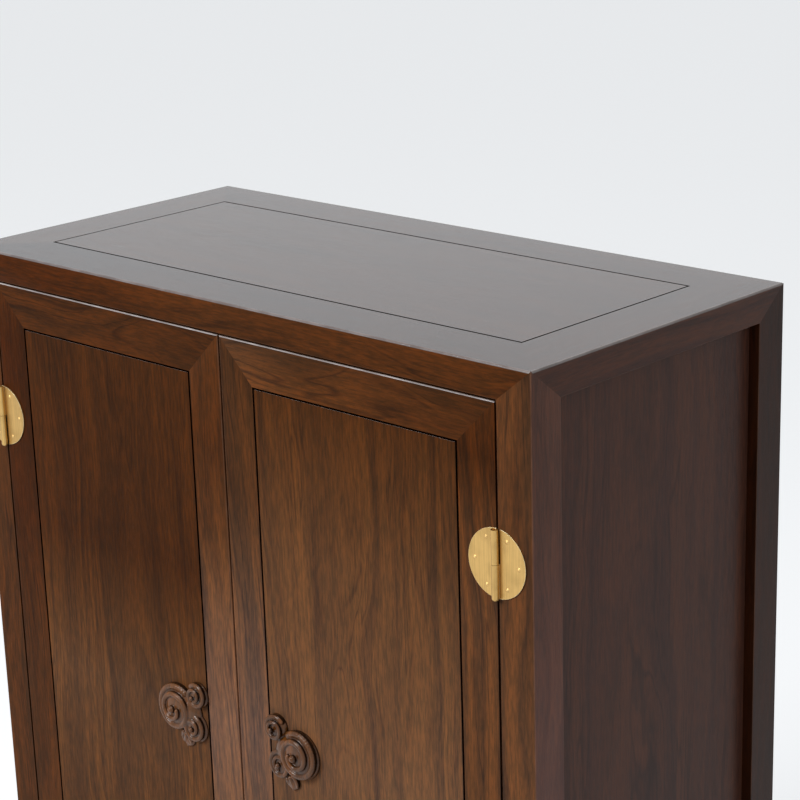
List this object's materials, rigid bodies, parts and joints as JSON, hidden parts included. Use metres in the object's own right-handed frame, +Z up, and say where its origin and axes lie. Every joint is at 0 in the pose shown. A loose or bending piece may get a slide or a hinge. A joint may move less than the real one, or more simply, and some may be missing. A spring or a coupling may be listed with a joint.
{
  "type": "two-door bookcase",
  "caption": "Low closed bookcase in dark hardwood: mitred square-post case, flush panels, inner shelves, paired doors on round brass hinges.",
  "frame": {"origin": "on the floor, under the middle of the whole footprint with the pulls", "axes": "+Z up, doors face -Y, +X to the right of someone who faces the doors"},
  "size_m": [0.83, 0.418, 1.1],
  "materials": {
    "front_wood": "satin lacquer, straight grain",
    "door_wood": "satin lacquer, straight grain",
    "door_panel_wood": "satin lacquer, flowered grain",
    "top_wood": "gloss lacquer, long grain",
    "side_wood": "satin lacquer, straight grain",
    "inner_wood": "thin matt oil, straight grain",
    "pull_wood": "carved and polished",
    "hinge_brass": "satin, brushed",
    "nail_brass": "polished domes",
    "catch_steel": "nickel plated"
  },
  "bodies": {
    "case": {"front_left_post": "front_wood", "front_right_post": "front_wood", "back_left_post": "side_wood", "back_right_post": "side_wood", "top_front_rail": "front_wood", "top_back_rail": "side_wood", "top_left_rail": "side_wood", "top_right_rail": "side_wood", "top_panel": "top_wood", "top_battens": "inner_wood", "base_front_rail": "front_wood", "base_back_rail": "side_wood", "base_left_rail": "side_wood", "base_right_rail": "side_wood", "base_board": "inner_wood", "base_battens": "inner_wood", "left_side_panel": "side_wood", "right_side_panel": "side_wood", "back_mid_rail": "side_wood", "back_upper_panel": "inner_wood", "back_lower_panel": "inner_wood", "front_apron": "front_wood", "back_apron": "side_wood", "side_aprons": "side_wood", "lower_shelf": "inner_wood", "upper_shelf": "inner_wood", "shelf_cleats": "inner_wood", "door_stop": "inner_wood", "catch_magnets": "catch_steel", "left_upper_post_leaf": "hinge_brass", "left_lower_post_leaf": "hinge_brass", "right_upper_post_leaf": "hinge_brass", "right_lower_post_leaf": "hinge_brass", "left_hinge_pins": "hinge_brass", "right_hinge_pins": "hinge_brass", "post_nails": "nail_brass"},
    "left_door": {"left_door_hinge_stile": "door_wood", "left_door_meeting_stile": "door_wood", "left_door_top_rail": "door_wood", "left_door_bottom_rail": "door_wood", "left_door_panel": "door_panel_wood", "left_door_battens": "inner_wood", "left_pull": "pull_wood", "left_strike": "catch_steel", "left_upper_door_leaf": "hinge_brass", "left_lower_door_leaf": "hinge_brass", "left_door_nails": "nail_brass"},
    "right_door": {"right_door_hinge_stile": "door_wood", "right_door_meeting_stile": "door_wood", "right_door_top_rail": "door_wood", "right_door_bottom_rail": "door_wood", "right_door_panel": "door_panel_wood", "right_door_battens": "inner_wood", "right_pull": "pull_wood", "right_strike": "catch_steel", "right_upper_door_leaf": "hinge_brass", "right_lower_door_leaf": "hinge_brass", "right_door_nails": "nail_brass"}
  },
  "joints": [
    {"name": "left_door_hinge", "type": "hinge", "parent": "case", "child": "left_door", "pos_m": [-0.372, -0.195, 0.624], "axis": [0, 0, -1], "range_deg": [0, 175]},
    {"name": "right_door_hinge", "type": "hinge", "parent": "case", "child": "right_door", "pos_m": [0.372, -0.195, 0.624], "axis": [0, 0, 1], "range_deg": [0, 175]}
  ]
}
